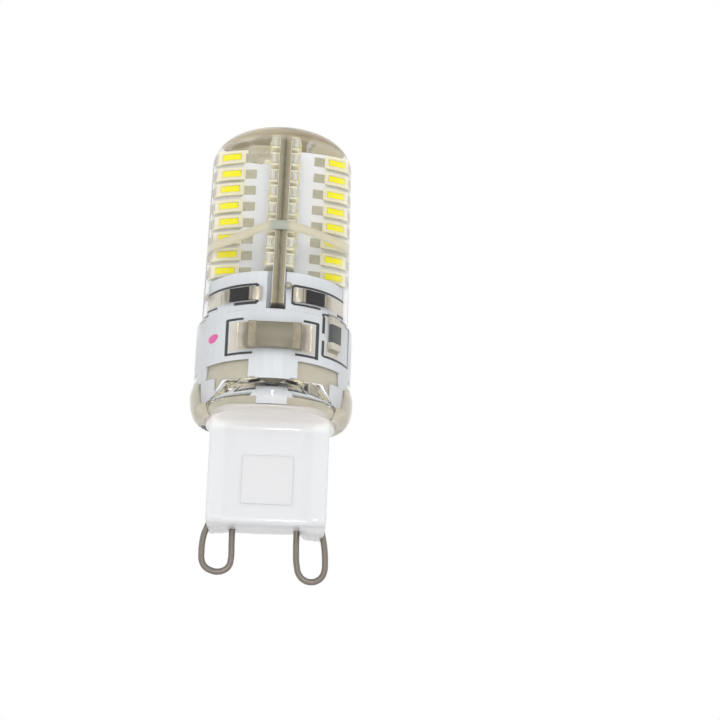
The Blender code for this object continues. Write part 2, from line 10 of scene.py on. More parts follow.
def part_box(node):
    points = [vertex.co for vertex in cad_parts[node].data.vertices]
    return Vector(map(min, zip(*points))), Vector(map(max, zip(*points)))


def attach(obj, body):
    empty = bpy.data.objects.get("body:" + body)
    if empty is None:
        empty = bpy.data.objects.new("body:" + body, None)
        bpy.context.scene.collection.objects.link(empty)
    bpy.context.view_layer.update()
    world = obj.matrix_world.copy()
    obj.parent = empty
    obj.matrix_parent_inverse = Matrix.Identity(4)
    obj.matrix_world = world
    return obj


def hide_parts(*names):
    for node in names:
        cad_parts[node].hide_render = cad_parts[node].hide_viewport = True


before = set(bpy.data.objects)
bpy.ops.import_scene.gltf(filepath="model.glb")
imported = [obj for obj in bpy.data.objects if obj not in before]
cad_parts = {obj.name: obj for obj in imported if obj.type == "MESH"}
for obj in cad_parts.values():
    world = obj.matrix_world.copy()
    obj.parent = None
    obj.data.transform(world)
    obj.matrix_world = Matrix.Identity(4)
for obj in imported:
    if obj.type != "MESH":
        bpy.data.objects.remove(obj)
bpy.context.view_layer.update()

bl_info = {
    "name": "LED capsule bulb",
    "version": (1, 0, 0),
    "blender": (4, 5, 0),
    "location": "3D View > Sidebar > Bulb",
    "description": "Dresses the solids of a two-pin LED capsule bulb",
    "category": "Object",
}

# Shapes are laid out in millimetres and degrees; finished meshes, materials and properties are in metres
MM = 0.001
BODY = "root"


def box(node):
    """The lowest and highest corners of a solid, in millimetres."""
    low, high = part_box(node)
    return low / MM, high / MM


TUBE_HIGH = box("driver_board")[1]
WIDE_LOW, WIDE_HIGH = box("led_board_wide")
DEEP_LOW, DEEP_HIGH = box("led_board_deep")
STRAP_LOW, STRAP_HIGH = box("retaining_strap")


def srgb(red, green, blue):
    """A colour given as it looks on screen, 0 to 255, as the linear values that shaders take."""
    def linear(value):
        share = value / 255
        return share / 12.92 if share <= 0.04045 else ((share + 0.055) / 1.055) ** 2.4
    return (linear(red), linear(green), linear(blue))


def length_property(name, default, description):
    return FloatProperty(name=name, default=default * MM, min=0.0, subtype="DISTANCE", unit="LENGTH",
                         description=description)


def angle_property(name, default, description):
    return FloatProperty(name=name, default=math.radians(default), subtype="ANGLE", unit="ROTATION",
                         description=description)


def colour_property(name, default, description):
    return FloatVectorProperty(name=name, default=srgb(*default), size=3, min=0.0, max=1.0, subtype="COLOR",
                               description=description)


class BulbSizes(bpy.types.PropertyGroup):
    """Sizes that the solids leave open."""
    board_thickness: length_property("Board thickness", 1.1, "Thickness of each LED board")
    led_pitch: length_property("LED pitch", 1.705, "From one row of packages to the next")
    led_head: length_property("LED head", 0.83, "From a board's top edge to its top row")
    led_rows: IntProperty(name="LED rows", default=8, min=1, description="Packages in each column")
    led_tilt: angle_property("LED tilt", 1.6, "Most that hand placing turns a package")
    led_slip: length_property("LED slip", 0.05, "Most that hand placing shifts a package")
    tube_radius: length_property("Tube radius", TUBE_HIGH.x, "Outside of the rolled driver board")
    print_height: length_property("Print height", 0.02, "Thickness of ink and copper on a board")
    pin_radius: length_property("Pin radius", 0.3, "Radius of the pin wire")
    led_shift: length_property("LED shift", 0.13, "How far the LED boards stand towards +X")
    led_lean: angle_property("LED lean", 0.4, "How far the LED boards lean towards +X")


class BulbColours(bpy.types.PropertyGroup):
    """Colours of the finishes."""
    phosphor: colour_property("Phosphor", (243, 235, 8), "Windows of the LED packages")
    package: colour_property("Package", (238, 231, 202), "Moulding of the LED packages")
    mask: colour_property("Solder mask", (238, 240, 244), "White faces of the LED boards")
    core: colour_property("Board core", (130, 122, 96), "Raw edges of the LED boards")
    copper: colour_property("Tinned pad", (188, 185, 166), "Bare pads beside the packages")
    strap: colour_property("Strap", (236, 229, 204), "Tie round the fins")
    driver: colour_property("Driver mask", (213, 217, 222), "White faces of the driver board")
    ceramic: colour_property("Ceramic", (111, 105, 84), "Bodies of the capacitors")
    ink: colour_property("Ink", (44, 47, 48), "Printed outlines on the driver board")
    dot: colour_property("Marking dot", (236, 86, 170), "Felt pen dot of the inspector")
    potting: colour_property("Potting", (190, 184, 166), "Brown potting in the foot of the tube")
    base: colour_property("Base", (222, 223, 225), "Moulded base")


def millimetres(name):
    """One of the bulb's lengths, in millimetres."""
    return getattr(bpy.context.scene.bulb_sizes, name) / MM


def metres(*lengths):
    """Lengths given in millimetres; the base's forms need them, because its skin feels any rounding."""
    return [length * MM for length in lengths]


# Meshes and pieces

def piece(name, mesh, materials, slot, *nodes):
    """Show a finished mesh as a piece of the bulb; it stands for the named solids."""
    for material in materials:
        mesh.materials.append(material)
    obj = helper_object(name, mesh)
    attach(obj, BODY)
    if nodes:
        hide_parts(*nodes)


def refinish(node, material):
    """Give a solid that keeps its own shape its finish."""
    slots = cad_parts[node].data.materials
    slots.clear()
    slots.append(material)


def to_mesh(bm, name, smooth_angle=40, unit=MM):
    """A finished mesh in metres, whose faces point outwards."""
    bmesh.ops.scale(bm, vec=(unit, unit, unit), verts=bm.verts)
    bmesh.ops.recalc_face_normals(bm, faces=bm.faces)
    mesh = bpy.data.meshes.new(name)
    bm.to_mesh(mesh)
    bm.free()
    mesh.shade_smooth()
    mesh.set_sharp_from_angle(angle=math.radians(smooth_angle))
    return mesh


def evaluated_mesh(obj, name):
    """The plain mesh of an object with its modifiers, and the object itself removed."""
    bpy.context.view_layer.update()
    mesh = bpy.data.meshes.new_from_object(obj.evaluated_get(bpy.context.evaluated_depsgraph_get()))
    mesh.name = name
    bpy.data.objects.remove(obj, do_unlink=True)
    return mesh


def helper_object(name, data):
    obj = bpy.data.objects.new(name, data)
    bpy.context.scene.collection.objects.link(obj)
    return obj


def rounded_box(bm, low, high, edge, segments=2, material=0):
    """Add a box with rounded edges to a bmesh."""
    low, high = Vector(low), Vector(high)
    matrix = Matrix.Translation((low + high) / 2) @ Matrix.Diagonal((*(high - low), 1.0))
    made = bmesh.ops.create_cube(bm, size=1.0, matrix=matrix)["verts"]
    edges = list({line for vert in made for line in vert.link_edges})
    rounded = bmesh.ops.bevel(bm, geom=edges, offset=edge, segments=segments, affect="EDGES", profile=0.5)
    for face in {face for vert in rounded["verts"] for face in vert.link_faces}:
        face.material_index = material


def box_mesh(name, *spans):
    """Mesh of small boxes, each given by its two corners."""
    bm = bmesh.new()
    for low, high in spans:
        rounded_box(bm, low, high, 0.02, 1)
    return to_mesh(bm, name)


def extrude(bm, outline, shift):
    """Add the solid that a flat outline sweeps when it is shifted."""
    face = bm.faces.new([bm.verts.new(point) for point in outline])
    made = bmesh.ops.extrude_face_region(bm, geom=[face])["geom"]
    moved = [item for item in made if isinstance(item, bmesh.types.BMVert)]
    bmesh.ops.translate(bm, vec=shift, verts=moved)
    bmesh.ops.recalc_face_normals(bm, faces=bm.faces)


def bridge(bm, one, two):
    """Join two closed rings of points, of which one may be a single point."""
    steps = max(len(one), len(two))
    for step in range(steps):
        after = (step + 1) % steps
        corners = (one[step % len(one)], one[after % len(one)], two[after % len(two)], two[step % len(two)])
        bm.faces.new(list(dict.fromkeys(corners)))


def close_grids(bm, low, high, material=0):
    """Close the space between two like grids of points."""
    columns, rows = len(low) - 1, len(low[0]) - 1
    faces = []
    for i in range(columns):
        for j in range(rows):
            for grid in (low, high):
                faces.append((grid[i][j], grid[i + 1][j], grid[i + 1][j + 1], grid[i][j + 1]))
        for j in (0, rows):
            faces.append((low[i][j], high[i][j], high[i + 1][j], low[i + 1][j]))
    for i in (0, columns):
        for j in range(rows):
            faces.append((low[i][j], low[i][j + 1], high[i][j + 1], high[i][j]))
    for corners in faces:
        bm.faces.new(corners).material_index = material


def arc(centre, radii, first, last, steps):
    """Points on a quarter of an ellipse, between two angles from straight up over its right side."""
    turns = [math.radians(first + (last - first) * k / steps) for k in range(steps + 1)]
    return [(centre[0] + radii[0] * math.sin(t), centre[1] + radii[1] * math.cos(t)) for t in turns]


def revolve(bm, profile, steps, move=None):
    """Turn (radius, height) points, whose ends lie on the axis; move(r, z, turn) gives their own place."""
    rings = []
    for point in profile:
        ring = []
        for step in range(steps if point[0] > 0 else 1):
            turn = 2 * math.pi * step / steps
            radius, height = move(*point, turn) if move else point
            ring.append(bm.verts.new(wrapped(turn, height, radius)))
        rings.append(ring)
    for one, two in zip(rings, rings[1:]):
        bridge(bm, one, two)


def wrapped(turn, height, radius):
    """A point round the bulb's axis: turn from the front towards +X, in radians."""
    return Vector((radius * math.sin(turn), -radius * math.cos(turn), height))


def wrapped_plate(bm, angles, heights, radius, thickness):
    """Thin plate that follows a cylinder between two angles and two heights."""
    first, last = (math.radians(angle) for angle in angles)
    columns = max(1, round(abs(last - first) / math.radians(5)))
    turns = [first + (last - first) * k / columns for k in range(columns + 1)]
    inner, outer = ([[bm.verts.new(wrapped(turn, height, depth)) for height in heights] for turn in turns]
                    for depth in (radius, radius + thickness))
    close_grids(bm, inner, outer)


def lean_cross(mesh):
    """Set a mesh of the LED cross a little off the middle and out of plumb, as it was potted."""
    sizes = bpy.context.scene.bulb_sizes
    foot = Vector((0.0, 0.0, DEEP_LOW.z * MM))
    shift = Matrix.Translation(foot + Vector((sizes.led_shift, 0.0, 0.0)))
    mesh.transform(shift @ Matrix.Rotation(sizes.led_lean, 4, "Y") @ Matrix.Translation(-foot))
    return mesh


def ease(share):
    share = min(max(share, 0.0), 1.0)
    return share * share * (3 - 2 * share)


# Nodes of materials, node groups and geometry

def feed(tree, node, **feeds):
    """Give a node's inputs, by name, their values or the sockets that feed them."""
    for label, value in feeds.items():
        label = label.replace("_", " ")
        socket = node.inputs[int(label[1:]) if label[1:].isdigit() else label]
        if isinstance(value, bpy.types.NodeSocket):
            tree.links.new(value, socket)
        else:
            socket.default_value = (*value[:3], 1.0) if socket.type == "RGBA" else value


def add(tree, kind, settings=None, **feeds):
    """Add a node with its settings and what feeds it, and give back its outputs."""
    node = tree.nodes.new(kind)
    for label, value in (settings or {}).items():
        setattr(node, label, value)
    feed(tree, node, **feeds)
    return node.outputs


def maths(tree, operation, *values):
    """The result of a Math node."""
    feeds = {f"_{index}": value for index, value in enumerate(values)}
    return add(tree, "ShaderNodeMath", {"operation": operation}, **feeds)[0]


def remap(tree, value, start, end, low=0.0, high=1.0, kind="LINEAR"):
    """A value's way from start to end, carried over to low and high."""
    feeds = {"From_Min": start, "From_Max": end, "To_Min": low, "To_Max": high}
    return add(tree, "ShaderNodeMapRange", {"interpolation_type": kind}, Value=value, **feeds)["Result"]


def ramp(tree, share, stops, kind="LINEAR"):
    """Colours that follow each other along a share; stops are (share, colour)."""
    node = tree.nodes.new("ShaderNodeValToRGB")
    feed(tree, node, Fac=share)
    node.color_ramp.interpolation = kind
    made = node.color_ramp.elements
    for position, colour in stops[1:-1]:
        made.new(position).color = (*colour, 1.0)
    for element, (position, colour) in ((made[0], stops[0]), (made[-1], stops[-1])):
        element.position = position
        element.color = (*colour, 1.0)
    return node.outputs["Color"]


def blend(tree, factor, one, two, kind="MIX"):
    """Two colours mixed by a factor."""
    settings = {"data_type": "RGBA", "blend_type": kind}
    return add(tree, "ShaderNodeMix", settings, Factor=factor, A=one, B=two)["Result"]


def coordinate(tree, axis=None, kind="Object"):
    """Object coordinates or normals, or one axis of them."""
    place = add(tree, "ShaderNodeTexCoord")[kind]
    return add(tree, "ShaderNodeSeparateXYZ", _0=place)[axis] if axis else place


def new_group(name, **inputs):
    """A shader node group with inputs and their defaults, which puts out a colour and a height."""
    group = bpy.data.node_groups.new(name, "ShaderNodeTree")
    for label, default in inputs.items():
        kind = "NodeSocketColor" if isinstance(default, tuple) else "NodeSocketFloat"
        group.interface.new_socket(label, in_out="INPUT", socket_type=kind).default_value = default
    for label, kind in (("Colour", "NodeSocketColor"), ("Height", "NodeSocketFloat")):
        group.interface.new_socket(label, in_out="OUTPUT", socket_type=kind)
    return group, group.nodes.new("NodeGroupInput").outputs, group.nodes.new("NodeGroupOutput")


def use_group(tree, name, **feeds):
    return add(tree, "ShaderNodeGroup", {"node_tree": bpy.data.node_groups[name]}, **feeds)


def make_grain_group():
    """Fine mottling: a colour that wavers round its own value, and a height for a bump."""
    group, given, sink = new_group("Fine grain", Colour=(0.8, 0.8, 0.8, 1.0), Scale=1.0, Variation=0.1,
                                   Cloudiness=0.05)
    place = coordinate(group)
    coarse = maths(group, "MULTIPLY", given["Scale"], 0.12)
    fine = add(group, "ShaderNodeTexNoise", Vector=place, Scale=given["Scale"], Detail=3.0)["Fac"]
    cloud = add(group, "ShaderNodeTexNoise", Vector=place, Scale=coarse, Detail=1.0)["Fac"]
    shades = [maths(group, "MULTIPLY_ADD", maths(group, "SUBTRACT", texture, 0.5), given[amount], 1.0)
              for texture, amount in ((fine, "Variation"), (cloud, "Cloudiness"))]
    tint = add(group, "ShaderNodeVectorMath", {"operation": "SCALE"}, _0=given["Colour"],
               Scale=maths(group, "MULTIPLY", *shades))
    feed(group, sink, Colour=tint["Vector"], Height=fine)


def make_laminate_group():
    """Sawn laminate: mask on the faces, and a core with a dark middle line at the raw edges."""
    group, given, sink = new_group("Sawn laminate", Face=(0.8, 0.8, 0.8, 1.0), Core=(0.3, 0.3, 0.2, 1.0),
                                   Across=0.0, Half=0.5 * MM, Edge=0.0)
    stretched = add(group, "ShaderNodeMapping", Vector=coordinate(group), Scale=(3800.0, 3800.0, 1500.0))
    fibre = add(group, "ShaderNodeTexNoise", Vector=stretched["Vector"], Scale=1.0, Detail=4.0)["Fac"]
    depth = maths(group, "ABSOLUTE", maths(group, "DIVIDE", given["Across"], given["Half"]))
    layers = ramp(group, maths(group, "MULTIPLY_ADD", fibre, 0.5, depth), (
        (0.24, (0.3, 0.29, 0.27)), (0.52, (0.8, 0.8, 0.8)), (0.8, (1.0, 1.0, 1.0)),
        (1.15 / 1.3, (1.25, 1.25, 1.2))))
    core = blend(group, 1.0, given["Core"], layers, "MULTIPLY")
    feed(group, sink, Colour=blend(group, given["Edge"], given["Face"], core),
         Height=maths(group, "MULTIPLY", fibre, given["Edge"]))


def new_material(name, **sockets):
    """A material with its node tree and shader, whose sockets are given in lower case."""
    material = bpy.data.materials.new(name)
    material.use_nodes = True
    shader = material.node_tree.nodes["Principled BSDF"]
    named = {label.title().replace("Ior", "IOR"): value for label, value in sockets.items()}
    feed(material.node_tree, shader, Subsurface_Radius=(1.0, 0.95, 0.85), **named)
    return material, material.node_tree, shader


def bump(tree, shader, height, distance):
    raised = add(tree, "ShaderNodeBump", Strength=1.0, Distance=distance * MM, Height=height)
    feed(tree, shader, Normal=raised["Normal"])


def grained(name, colour, roughness, scale, variation, depth, cloudiness=0.05, **sockets):
    """A material whose colour and surface waver finely; a second call gives the same one."""
    if name in bpy.data.materials:
        return bpy.data.materials[name]
    material, tree, shader = new_material(name, roughness=roughness, **sockets)
    grain = use_group(tree, "Fine grain", Colour=colour, Scale=scale, Variation=variation,
                      Cloudiness=cloudiness)
    feed(tree, shader, Base_Color=grain["Colour"])
    bump(tree, shader, grain["Height"], depth)
    return material


def fade(material, axis, *bands):
    """Feed the grain colours that follow each other with the distance from the middle along an axis."""
    tree = material.node_tree
    start, end = bands[0][0], bands[-1][0]
    share = remap(tree, maths(tree, "ABSOLUTE", coordinate(tree, axis)), start * MM, end * MM)
    stops = [((distance - start) / (end - start), colour) for distance, colour in bands]
    grain = next(node for node in tree.nodes if node.type == "GROUP")
    feed(tree, grain, Colour=ramp(tree, share, stops, "EASE"))


def laminate(name, axis, colours):
    """Board finish: white mask on faces turned along an axis, sawn core elsewhere."""
    material, tree, shader = new_material(name, roughness=0.42)
    facing = maths(tree, "ABSOLUTE", coordinate(tree, axis, "Normal"))
    grain = use_group(tree, "Fine grain", Colour=colours.mask, Scale=900.0, Variation=0.03, Cloudiness=0.06)
    depth = add(tree, "ShaderNodeAttribute", {"attribute_name": "depth"})["Fac"]
    layers = use_group(tree, "Sawn laminate", Face=grain["Colour"], Core=colours.core, Across=depth,
                       Half=millimetres("board_thickness") / 2 * MM,
                       Edge=maths(tree, "LESS_THAN", facing, 0.7))
    feed(tree, shader, Base_Color=layers["Colour"])
    bump(tree, shader, layers["Height"], 0.06)
    return material


def solder_material():
    return grained("Solder", srgb(186, 180, 166), 0.34, 1300.0, 0.35, 0.07, 0.15, metallic=0.75)


def wire_material():
    return grained("Tinned wire", srgb(138, 131, 123), 0.36, 500.0, 0.2, 0.006, 0.12, metallic=1.0)


# Operators, one for each piece or group of like pieces

class BULB_OT_stage(bpy.types.Operator):
    """Make the floor, the soft lamps, the white surround and the camera"""
    bl_idname = "bulb.stage"
    bl_label = "Stage"

    def execute(self, context):
        self.floor()
        self.lamps()
        self.surround(context.scene)
        self.camera(context.scene)
        return {"FINISHED"}

    def floor(self):
        bm = bmesh.new()
        bmesh.ops.create_grid(bm, x_segments=1, y_segments=1, size=1000.0,
                              matrix=Matrix.Translation((0.0, 0.0, -45.0)))
        mesh = to_mesh(bm, "studio_floor")
        mesh.materials.append(new_material("Pale floor", roughness=0.8, base_color=(0.9, 0.9, 0.9))[0])
        helper_object("studio_floor", mesh)

    def lamps(self):
        """Soft boxes, in metres: one over the camera, one at each side and a small one for the glint."""
        aim = Vector((0.0, 0.0, 0.018))
        for name, place, width, height, power in (
                ("front_box", (0.02, -0.36, 0.13), 0.16, 0.16, 0.34),
                ("left_box", (-0.38, -0.12, 0.08), 0.20, 0.20, 0.08),
                ("right_box", (0.38, -0.10, 0.10), 0.20, 0.20, 0.04),
                ("rear_box", (0.05, 0.35, 0.25), 0.20, 0.20, 0.16),
                ("glint_box", (0.0031, -0.20, -0.018), 0.004, 0.045, 0.025)):
            lamp = bpy.data.lights.new(name, "AREA")
            lamp.shape = "RECTANGLE"
            lamp.size = width
            lamp.size_y = height
            lamp.energy = power
            obj = helper_object(name, lamp)
            obj.location = place
            obj.visible_glossy = name == "glint_box"
            obj.rotation_euler = (aim - Vector(place)).to_track_quat("-Z", "Y").to_euler()

    def surround(self, scene):
        """White to the camera and in gloss and glass, a little lower as light on the bulb."""
        world = bpy.data.worlds.new("Surround")
        world.use_nodes = True
        tree = world.node_tree
        path = add(tree, "ShaderNodeLightPath")
        gloss = maths(tree, "MAXIMUM", path["Is Camera Ray"], path["Is Glossy Ray"])
        seen = maths(tree, "MAXIMUM", gloss, path["Is Transmission Ray"])
        level = remap(tree, seen, 0.0, 1.0, 0.82, 1.0)
        feed(tree, tree.nodes["Background"], Color=(1.0, 1.0, 1.0), Strength=level)
        scene.world = world
        scene.view_settings.view_transform = "Standard"
        scene.cycles.max_bounces = 20
        scene.cycles.glossy_bounces = 14
        scene.cycles.transmission_bounces = 16

    def camera(self, scene):
        """Camera at the photograph's angle: a little from the right and from below."""
        data = bpy.data.cameras.new("camera")
        data.sensor_width = 36.0
        data.lens = 81.2
        data.clip_start = 0.01
        data.clip_end = 10.0
        azimuth, elevation, roll = math.radians(3.03), math.radians(16.0), 0.032
        level = Vector((math.cos(azimuth), -math.sin(azimuth), 0.0))
        across = Vector((math.sin(azimuth), math.cos(azimuth), 0.0))
        ahead = across * math.cos(elevation) + Vector((0.0, 0.0, math.sin(elevation)))
        upright = level.cross(ahead)
        right = math.cos(roll) * level + math.sin(roll) * upright
        up = math.cos(roll) * upright - math.sin(roll) * level
        turn = Matrix((right, up, -ahead)).transposed().to_4x4()
        scene.camera = helper_object("camera", data)
        scene.camera.matrix_world = Matrix.Translation(Vector((0.38, -152.0, -26.23)) * MM) @ turn


class BULB_OT_capsule(bpy.types.Operator):
    """Make the clear silicone: domed barrel, collar, swollen lip, bowl and the hollow over the base"""
    bl_idname = "bulb.capsule"
    bl_label = "Silicone capsule"

    turn_steps = 144

    def outer_profile(self):
        """Outside, from the top of the dome down to the bowl's foot."""
        top, crown, shoulder_r, shoulder_h = 40.2, 0.35, 4.2, 3.1
        spring = top - crown - shoulder_h

        def barrel(height):
            return 7.14 - 0.012 * (height - 19.8)
        flat = barrel(spring) - shoulder_r
        points = [(flat * k / 8, top - crown * (k / 8) ** 2) for k in range(9)]
        points += arc((flat, spring), (shoulder_r, shoulder_h), 0, 90, 20)[1:]
        points += [(barrel(z), z) for z in (spring + (19.98 - spring) * k / 10 for k in range(1, 11))]
        points += [(7.17, 19.93), (7.24, 19.87), (7.35, 19.84)]
        points += arc((7.35, 19.64), (0.2, 0.2), 0, 90, 6)[1:]
        points += [(7.55 + 0.29 * ease(k / 12), 14.3 - 1.6 * k / 12) for k in range(13)]
        return points + arc((6.8, 12.7), (1.04, 2.35), 90, 180, 20)[1:]

    def inner_profile(self):
        """Hollow over the flange at the front: a thin skirt that domes inwards to the potting."""
        ends = ((7.47, 11.44), (6.43, 12.15), (5.65, 13.06), (5.36, 13.42))
        points = [(6.6, 10.35), (7.0, 10.5), (7.3, 10.95)]
        for t in (step / 30 for step in range(31)):
            shares = ((1 - t) ** 3, 3 * (1 - t) ** 2 * t, 3 * (1 - t) * t * t, t ** 3)
            points.append(tuple(sum(w * end[k] for w, end in zip(shares, ends)) for k in (0, 1)))
        return points + [(4.6, 13.42), (3.0, 13.42), (0.0, 13.42)]

    def execute(self, context):
        material, tree, shader = new_material("Clear silicone", roughness=0.03, transmission_weight=1.0,
                                              ior=1.41)
        self.age(tree, shader)
        self.let_light_through(tree, shader)
        hollow = self.inner_profile()

        def settle(radius, height, turn):
            """Open the hollow at the front only; elsewhere the silicone meets the flange."""
            if (radius, height) not in hollow:
                return radius, height
            share = (height - 10.35) / 3.07
            filled = (min(radius, 6.6 - 0.55 * ease(4 * share)), 10.35 + 0.5 * share)
            open_share = ease((math.cos(turn) - 0.42) / 0.2)
            return tuple(low + (high - low) * open_share for low, high in zip(filled, (radius, height)))
        bm = bmesh.new()
        revolve(bm, self.outer_profile() + hollow, self.turn_steps, settle)
        piece("potted_silicone", to_mesh(bm, "potted_silicone", 60), [material], "silicone",
              "silicone_capsule")
        return {"FINISHED"}

    def age(self, tree, shader):
        """The thick dome has yellowed and is hazy, the thin barrel hardly; the tint also deepens towards +X.
        """
        rise = remap(tree, coordinate(tree, "Z"), 37.0 * MM, 37.9 * MM, kind="SMOOTHSTEP")
        cloud = add(tree, "ShaderNodeTexNoise", Vector=coordinate(tree), Scale=260.0)["Fac"]
        # The tint deepens towards +X, so the dome is darker at its right than at its left.
        lean = maths(tree, "MULTIPLY_ADD", coordinate(tree, "X"), 24.0, 0.7)
        warm = maths(tree, "MULTIPLY_ADD", cloud, 0.4, lean)
        tint = ramp(tree, maths(tree, "MULTIPLY", rise, warm), (
            (0.0, (0.985, 0.98, 0.965)), (0.75, srgb(203, 192, 167)), (1.0, srgb(167, 152, 124))))
        feed(tree, shader, Base_Color=tint, Transmission_Weight=remap(tree, rise, 0.0, 1.0, 1.0, 0.45))

    def let_light_through(self, tree, shader):
        """Lamps and the light between surfaces pass the silicone, so what it pots is lit."""
        path = add(tree, "ShaderNodeLightPath")
        either = maths(tree, "MAXIMUM", path["Is Shadow Ray"], path["Is Diffuse Ray"])
        clear = add(tree, "ShaderNodeBsdfTransparent", Color=(0.995, 0.99, 0.985))["BSDF"]
        mixed = add(tree, "ShaderNodeMixShader", Fac=either, _1=shader.outputs["BSDF"], _2=clear)
        feed(tree, tree.nodes["Material Output"], Surface=mixed["Shader"])


class BULB_OT_led_boards(bpy.types.Operator):
    """Make the two half-lapped LED boards"""
    bl_idname = "bulb.led_boards"
    bl_label = "LED boards"

    def outline(self, half, bottom, top, slot_up):
        """Outline in (across, up): slotted from above and with a ragged broken corner, or from below."""
        slot, lap = 0.6, (WIDE_LOW.z + WIDE_HIGH.z) / 2
        if not slot_up:
            return [(-half, bottom), (-slot, bottom), (-slot, lap), (slot, lap), (slot, bottom),
                    (half, bottom), (half, top), (-half, top)]
        ragged = [(-0.9, -1.5), (-1.25, -1.4), (-1.7, -1.5), (-2.1, -1.42), (-2.45, -1.3), (-2.7, -0.95),
                  (-2.62, -0.62), (-2.78, -0.5), (-2.66, -0.32), (-2.74, 0.0)]
        return [(-half, bottom), (half, bottom), (half, top), (slot, top), (slot, lap), (-slot, lap),
                (-slot, top - 1.52), *((x, top + z) for x, z in ragged), (-half, top)]

    def board(self, name, half, bottom, top, turned, material, node):
        thick = millimetres("board_thickness")
        bm = bmesh.new()
        outline = self.outline(half, bottom, top, not turned)
        extrude(bm, [(x, -thick / 2, z) for x, z in outline], (0.0, thick, 0.0))
        sharp = [edge for edge in bm.edges if edge.calc_face_angle(0.0) > 0.5]
        bmesh.ops.bevel(bm, geom=sharp, offset=0.03, segments=1, affect="EDGES", clamp_overlap=True)
        mesh = to_mesh(bm, name, 30)
        depth = mesh.attributes.new("depth", "FLOAT", "POINT")
        depth.data.foreach_set("value", [vert.co.y for vert in mesh.vertices])
        if turned:
            mesh.transform(Matrix.Rotation(math.radians(90), 4, "Z"))
        piece(name, lean_cross(mesh), [material], "led_board", node)

    def execute(self, context):
        colours = context.scene.bulb_colours
        self.board("led_board_across", WIDE_HIGH.x, WIDE_LOW.z, WIDE_HIGH.z, False,
                   laminate("Laminate across", "Y", colours), "led_board_wide")
        self.board("led_board_along", DEEP_HIGH.y, DEEP_LOW.z, DEEP_HIGH.z, True,
                   laminate("Laminate along", "X", colours), "led_board_deep")
        return {"FINISHED"}


def make_rows_tree():
    """Geometry Nodes: a column of copies of an item, each a little out of place."""
    tree = bpy.data.node_groups.new("Package rows", "GeometryNodeTree")
    tree.interface.new_socket("Geometry", in_out="OUTPUT", socket_type="NodeSocketGeometry")
    for label, kind in (("Item", "Object"), ("Rows", "Int"), ("Pitch", "Float"), ("Tilt", "Float"),
                        ("Shift", "Float"), ("Seed", "Int"), ("Material", "Material")):
        tree.interface.new_socket(label, in_out="INPUT", socket_type="NodeSocket" + kind)
    given = tree.nodes.new("NodeGroupInput").outputs
    step = add(tree, "ShaderNodeCombineXYZ", Z=maths(tree, "MULTIPLY", given["Pitch"], -1.0))[0]
    line = add(tree, "GeometryNodeMeshLine", Count=given["Rows"], Offset=step)["Mesh"]
    item = add(tree, "GeometryNodeObjectInfo", Object=given["Item"])["Geometry"]
    tilt, shift = (add(tree, "FunctionNodeRandomValue", {"data_type": "FLOAT_VECTOR"},
                       Min=maths(tree, "MULTIPLY", given[label], -1.0), Max=given[label],
                       Seed=given["Seed"])["Value"] for label in ("Tilt", "Shift"))
    copies = add(tree, "GeometryNodeInstanceOnPoints", Points=line, Instance=item, Rotation=tilt)["Instances"]
    flat = add(tree, "ShaderNodeVectorMath", {"operation": "MULTIPLY"}, _0=shift, _1=(1.0, 0.0, 1.0))[0]
    moved = add(tree, "GeometryNodeTranslateInstances", Instances=copies, Translation=flat)["Instances"]
    real = add(tree, "GeometryNodeRealizeInstances", Geometry=moved)["Geometry"]
    painted = add(tree, "GeometryNodeSetMaterial", Geometry=real, Material=given["Material"])["Geometry"]
    feed(tree, tree.nodes.new("NodeGroupOutput"), Geometry=painted)


def rows_of(item, material, seed, loose):
    """Plain mesh of one column of an item; loose is how much of the tilt and slip it has."""
    sizes = bpy.context.scene.bulb_sizes
    carrier = helper_object("carrier", bpy.data.meshes.new("carrier"))
    modifier = carrier.modifiers.new("rows", "NODES")
    modifier.node_group = bpy.data.node_groups["Package rows"]
    given = {"Item": item, "Rows": sizes.led_rows, "Pitch": sizes.led_pitch, "Tilt": sizes.led_tilt * loose,
             "Shift": sizes.led_slip * loose, "Seed": seed, "Material": material}
    for socket in modifier.node_group.interface.items_tree:
        if socket.in_out == "INPUT":
            modifier[socket.identifier] = given[socket.name]
    return evaluated_mesh(carrier, "column")


